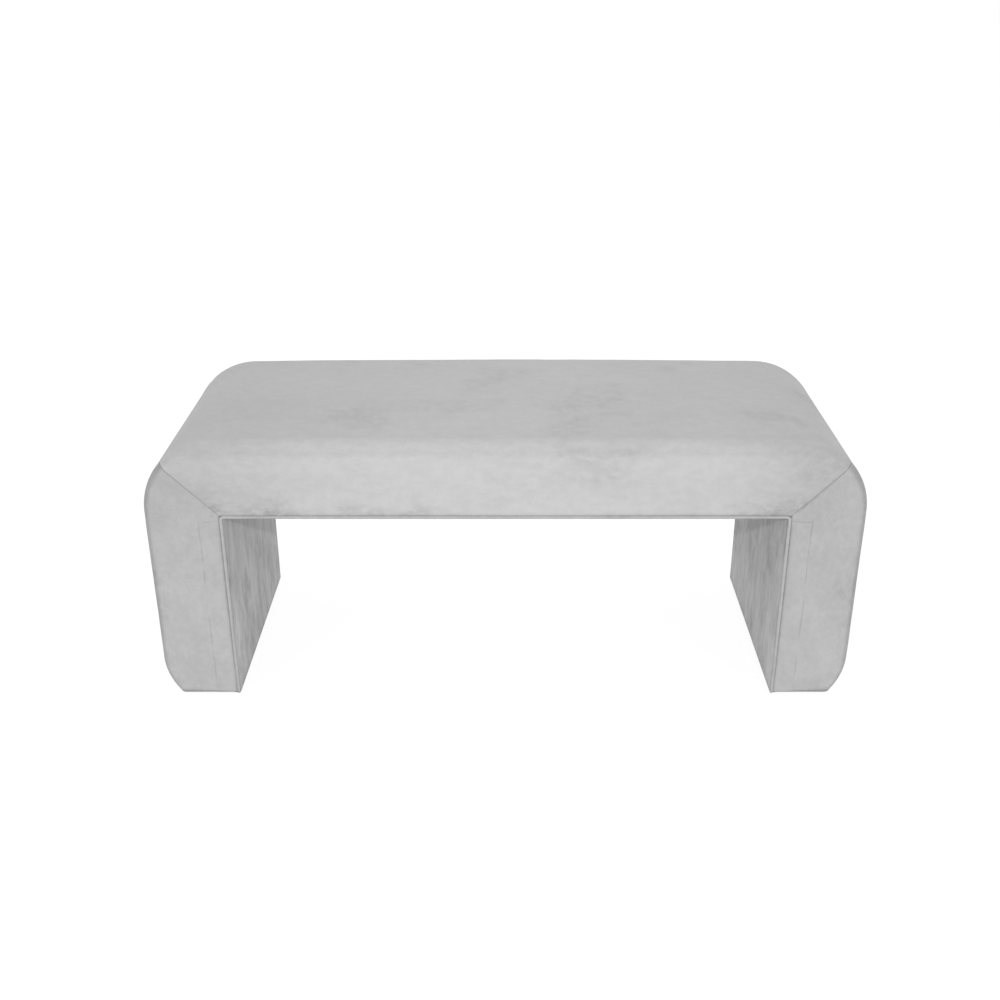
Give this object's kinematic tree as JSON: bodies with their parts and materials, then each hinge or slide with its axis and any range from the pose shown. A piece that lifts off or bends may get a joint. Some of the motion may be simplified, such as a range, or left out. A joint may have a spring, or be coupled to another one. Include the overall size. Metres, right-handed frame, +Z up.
{
  "type": "upholstered bench",
  "caption": "Waterfall bench: a padded velvet seat that runs down through rounded corners into slab legs, with piping along the inner arch.",
  "frame": {"origin": "on the floor, under the middle of the bench", "axes": "+X along the bench, +Y from its front to its back, +Z up"},
  "size_m": [1.1, 0.4, 0.45],
  "materials": {
    "velvet": "matte",
    "foam": "matte",
    "wadding": "matte",
    "dust_cloth": "matte",
    "pine": "matte",
    "plywood": "matte",
    "hardboard": "matte",
    "zinc_steel": "satin",
    "nylon": "satin"
  },
  "bodies": {
    "root": {"back_apron_padding": "wadding", "back_welt": "velvet", "cover_staples": "zinc_steel", "deck_screws": "zinc_steel", "foot_plate_screws": "zinc_steel", "front_apron_padding": "wadding", "front_welt": "velvet", "glide_nails": "zinc_steel", "glides": "nylon", "left_foot_dust_cover": "dust_cloth", "left_foot_plate": "plywood", "left_leg_back_padding": "wadding", "left_leg_back_stile": "pine", "left_leg_bottom_rail": "pine", "left_leg_cover": "velvet", "left_leg_foam": "foam", "left_leg_front_padding": "wadding", "left_leg_front_stile": "pine", "left_leg_inner_panel": "hardboard", "left_leg_lining": "velvet", "left_leg_side_panel": "plywood", "left_leg_top_rail": "pine", "leg_bolt_nuts": "zinc_steel", "leg_bolt_washers": "zinc_steel", "leg_bolts": "zinc_steel", "rail_screws": "zinc_steel", "right_foot_dust_cover": "dust_cloth", "right_foot_plate": "plywood", "right_leg_back_padding": "wadding", "right_leg_back_stile": "pine", "right_leg_bottom_rail": "pine", "right_leg_cover": "velvet", "right_leg_foam": "foam", "right_leg_front_padding": "wadding", "right_leg_front_stile": "pine", "right_leg_inner_panel": "hardboard", "right_leg_lining": "velvet", "right_leg_side_panel": "plywood", "right_leg_top_rail": "pine", "seat_back_rail": "pine", "seat_corner_blocks": "pine", "seat_cover": "velvet", "seat_deck": "plywood", "seat_foam": "foam", "seat_front_rail": "pine", "seat_left_cross_rail": "pine", "seat_left_end_rail": "pine", "seat_right_cross_rail": "pine", "seat_right_end_rail": "pine", "side_panel_screws": "zinc_steel", "soffit_lining": "velvet", "soffit_panel": "hardboard", "stile_screws": "zinc_steel"}
  },
  "joints": []
}
